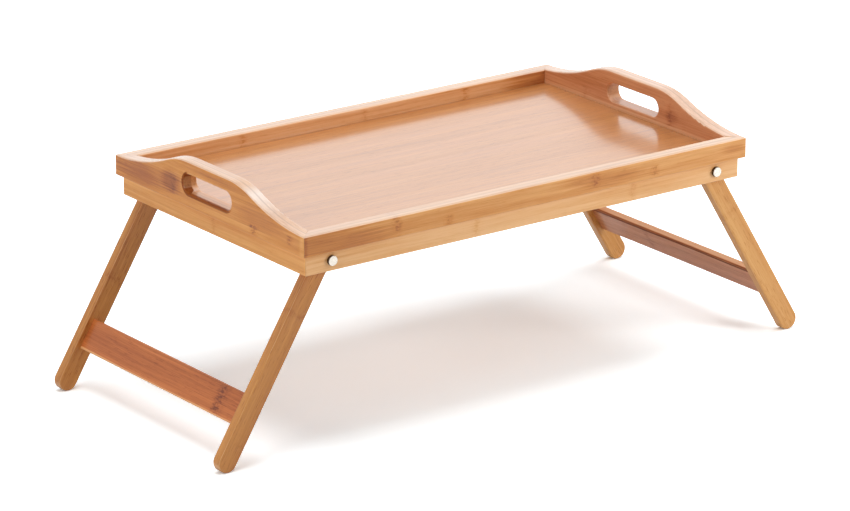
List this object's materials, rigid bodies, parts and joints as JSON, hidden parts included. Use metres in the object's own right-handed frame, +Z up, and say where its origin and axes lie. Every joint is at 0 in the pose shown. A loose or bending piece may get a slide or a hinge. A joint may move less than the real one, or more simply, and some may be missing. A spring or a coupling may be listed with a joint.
{
  "type": "bed tray table",
  "caption": "Low bamboo bed tray table: a framed tray with raised, slotted handle boards at its ends, on leg frames that swing out to a stop and fold flat under the tray.",
  "frame": {"origin": "on the floor below the middle of the tray, with the legs open", "axes": "+X along the tray's long side, +Y from the front rail to the back rail, +Z up"},
  "size_m": [0.6616, 0.3, 0.2302],
  "materials": {
    "frame_bamboo": "satin clear lacquer over laminated caramel bamboo",
    "panel_bamboo": "glossy clear lacquer over edge-glued bamboo strips",
    "leg_bamboo": "satin clear lacquer over laminated caramel bamboo",
    "beech_dowel": "bare fluted beech",
    "nickel_plate": "bright nickel plate",
    "zinc_plate": "bright zinc plate",
    "nylon": "natural nylon"
  },
  "bodies": {
    "tray": {"front_rail": "frame_bamboo", "back_rail": "frame_bamboo", "left_handle_board": "frame_bamboo", "right_handle_board": "frame_bamboo", "tray_panel": "panel_bamboo", "front_left_corner_dowels": "beech_dowel", "front_right_corner_dowels": "beech_dowel", "back_left_corner_dowels": "beech_dowel", "back_right_corner_dowels": "beech_dowel", "front_left_sleeve_nut": "nickel_plate", "front_left_pivot_screw": "zinc_plate", "front_left_spacer_washer": "nylon", "front_left_screw_washer": "zinc_plate", "front_right_sleeve_nut": "nickel_plate", "front_right_pivot_screw": "zinc_plate", "front_right_spacer_washer": "nylon", "front_right_screw_washer": "zinc_plate", "back_left_sleeve_nut": "nickel_plate", "back_left_pivot_screw": "zinc_plate", "back_left_spacer_washer": "nylon", "back_left_screw_washer": "zinc_plate", "back_right_sleeve_nut": "nickel_plate", "back_right_pivot_screw": "zinc_plate", "back_right_spacer_washer": "nylon", "back_right_screw_washer": "zinc_plate"},
    "left_leg_frame": {"left_stretcher": "leg_bamboo", "left_front_leg": "leg_bamboo", "left_back_leg": "leg_bamboo", "left_front_stretcher_dowels": "beech_dowel", "left_back_stretcher_dowels": "beech_dowel"},
    "right_leg_frame": {"right_stretcher": "leg_bamboo", "right_front_leg": "leg_bamboo", "right_back_leg": "leg_bamboo", "right_front_stretcher_dowels": "beech_dowel", "right_back_stretcher_dowels": "beech_dowel"}
  },
  "joints": [
    {"name": "left_leg_fold", "type": "hinge", "parent": "tray", "child": "left_leg_frame", "pos_m": [-0.21745, 0, 0.179], "axis": [0, -1, 0], "range_deg": [0, 121.46]},
    {"name": "right_leg_fold", "type": "hinge", "parent": "tray", "child": "right_leg_frame", "pos_m": [0.21745, 0, 0.179], "axis": [0, 1, 0], "range_deg": [0, 121.46]}
  ]
}
